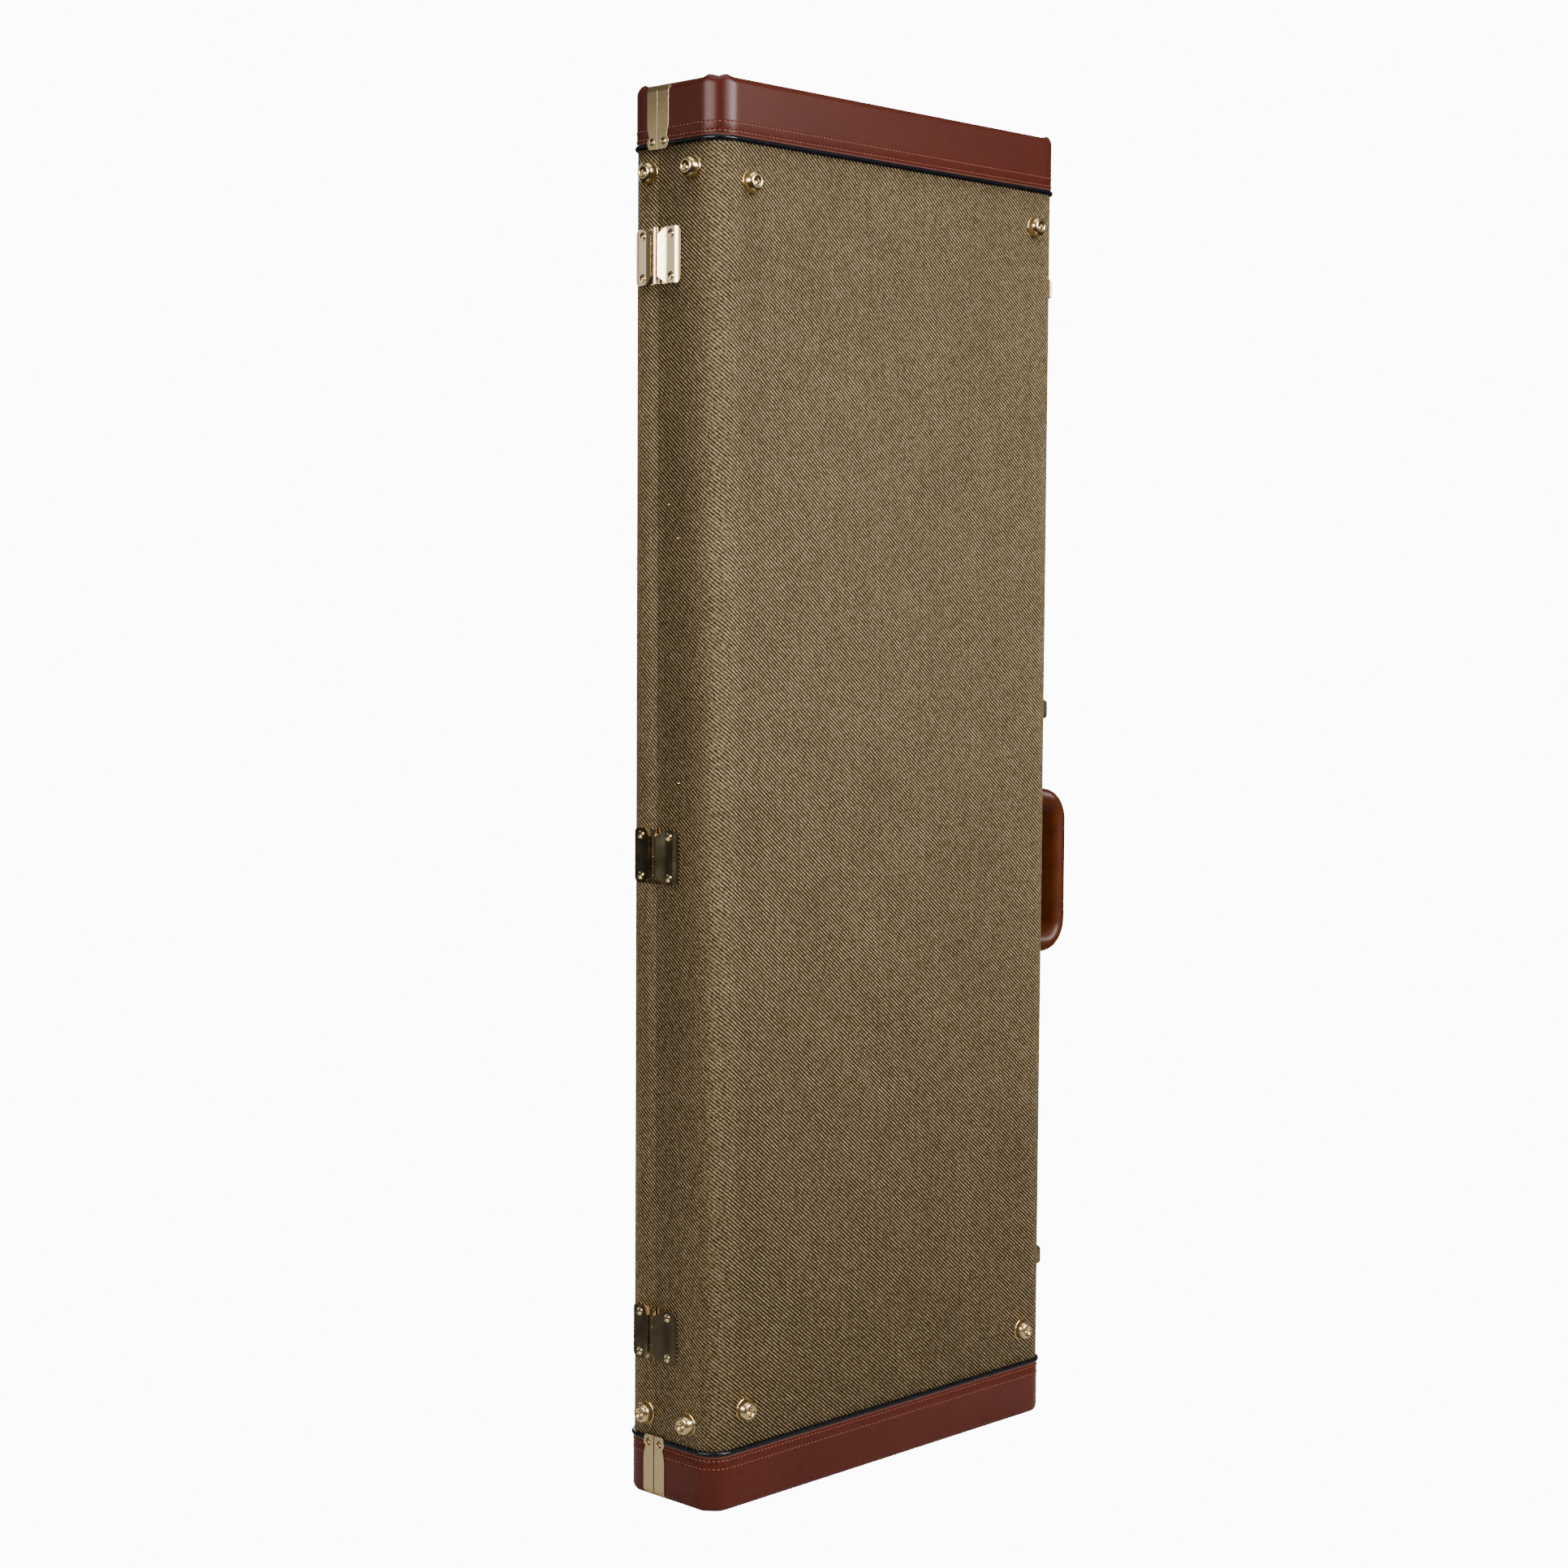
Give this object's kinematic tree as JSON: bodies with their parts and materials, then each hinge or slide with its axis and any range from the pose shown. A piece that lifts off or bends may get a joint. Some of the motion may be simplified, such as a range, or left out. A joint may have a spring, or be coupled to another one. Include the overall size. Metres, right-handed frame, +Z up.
{
  "type": "electric guitar case",
  "caption": "Upright rectangular hard case for an electric guitar: cloth-covered halves with leather ends, side-hinged lid, draw latches, carrying handle and fitted plush interior.",
  "frame": {"origin": "centre of the body end's outer face, which stands on the floor; centred on the covered case, without its glides, hinges, latches and handle", "axes": "+Z up, from the body end to the head end; +X from the hinge side to the handle side; +Y from the base's big face to the lid's"},
  "size_m": [0.4407, 0.1064, 1.05],
  "materials": {
    "tweed": "woven twill",
    "end_leather": "grained, satin",
    "handle_leather": "smooth, polished",
    "piping": "gloss",
    "brass": "bright, lightly worn",
    "plywood": "bare",
    "plush": "short pile"
  },
  "bodies": {
    "base": {"base_shell": "plywood", "base_end_board_bottom": "plywood", "base_end_board_top": "plywood", "base_cloth": "tweed", "base_cap_bottom": "end_leather", "base_cap_top": "end_leather", "base_piping_bottom": "piping", "base_piping_top": "piping", "base_edge_strip_bottom": "brass", "base_edge_strip_top": "brass", "base_side_feet": "brass", "face_feet": "brass", "base_rivets": "brass", "base_nails": "brass", "hinge_low_base_leaf": "brass", "hinge_middle_base_leaf": "brass", "hinge_top_base_leaf": "brass", "hinge_pins": "brass", "latch_low_plate": "brass", "latch_middle_plate": "brass", "latch_top_plate": "brass", "latch_pins": "brass", "handle_bracket_lower": "brass", "handle_bracket_upper": "brass", "handle_pins": "brass", "bracket_screws": "brass", "base_lining": "plush", "body_surround": "plush", "neck_rest": "plush", "accessory_box": "plush", "filler_block": "plush"},
    "lid": {"lid_shell": "plywood", "lid_end_board_bottom": "plywood", "lid_end_board_top": "plywood", "lid_cloth": "tweed", "lid_cap_bottom": "end_leather", "lid_cap_top": "end_leather", "lid_piping_bottom": "piping", "lid_piping_top": "piping", "lid_edge_strip_bottom": "brass", "lid_edge_strip_top": "brass", "lid_side_feet": "brass", "lid_rivets": "brass", "lid_nails": "brass", "hinge_low_lid_leaf": "brass", "hinge_middle_lid_leaf": "brass", "hinge_top_lid_leaf": "brass", "latch_low_keeper": "brass", "latch_middle_keeper": "brass", "latch_top_keeper": "brass", "lid_lining": "plush"},
    "lever_low": {"latch_low_lever": "brass"},
    "bail_low": {"latch_low_bail": "brass"},
    "lever_middle": {"latch_middle_lever": "brass"},
    "bail_middle": {"latch_middle_bail": "brass"},
    "lever_top": {"latch_top_lever": "brass"},
    "bail_top": {"latch_top_bail": "brass"},
    "handle": {"handle_grip": "handle_leather", "handle_eyes": "brass"}
  },
  "joints": [
    {"name": "lid_hinge", "type": "hinge", "parent": "base", "child": "lid", "pos_m": [-0.197, 0.014, 0.525], "axis": [0, 0, 1], "range_deg": [0, 105]},
    {"name": "lever_low_pivot", "type": "hinge", "parent": "base", "child": "lever_low", "pos_m": [0.1996, 0.002, 0.126], "axis": [0, 0, 1], "range_deg": [0, 150]},
    {"name": "bail_low_pivot", "type": "hinge", "parent": "lever_low", "child": "bail_low", "pos_m": [0.1974, -0.006, 0.126], "axis": [0, 0, 1], "range_deg": [-175, 0]},
    {"name": "lever_middle_pivot", "type": "hinge", "parent": "base", "child": "lever_middle", "pos_m": [0.1996, 0.002, 0.586], "axis": [0, 0, 1], "range_deg": [0, 150]},
    {"name": "bail_middle_pivot", "type": "hinge", "parent": "lever_middle", "child": "bail_middle", "pos_m": [0.1974, -0.006, 0.586], "axis": [0, 0, 1], "range_deg": [-175, 0]},
    {"name": "lever_top_pivot", "type": "hinge", "parent": "base", "child": "lever_top", "pos_m": [0.1996, 0.002, 0.932], "axis": [0, 0, 1], "range_deg": [0, 150]},
    {"name": "bail_top_pivot", "type": "hinge", "parent": "lever_top", "child": "bail_top", "pos_m": [0.1974, -0.006, 0.932], "axis": [0, 0, 1], "range_deg": [-175, 0]},
    {"name": "handle_pivot", "type": "hinge", "parent": "base", "child": "handle", "pos_m": [0.202, -0.018, 0.4505], "axis": [0, 0, 1], "range_deg": [-75, 75]}
  ],
  "couplings": [
    {"joint": "bail_low_pivot", "follows": "lever_low_pivot", "ratio": -1.1667},
    {"joint": "bail_middle_pivot", "follows": "lever_middle_pivot", "ratio": -1.1667},
    {"joint": "bail_top_pivot", "follows": "lever_top_pivot", "ratio": -1.1667}
  ]
}
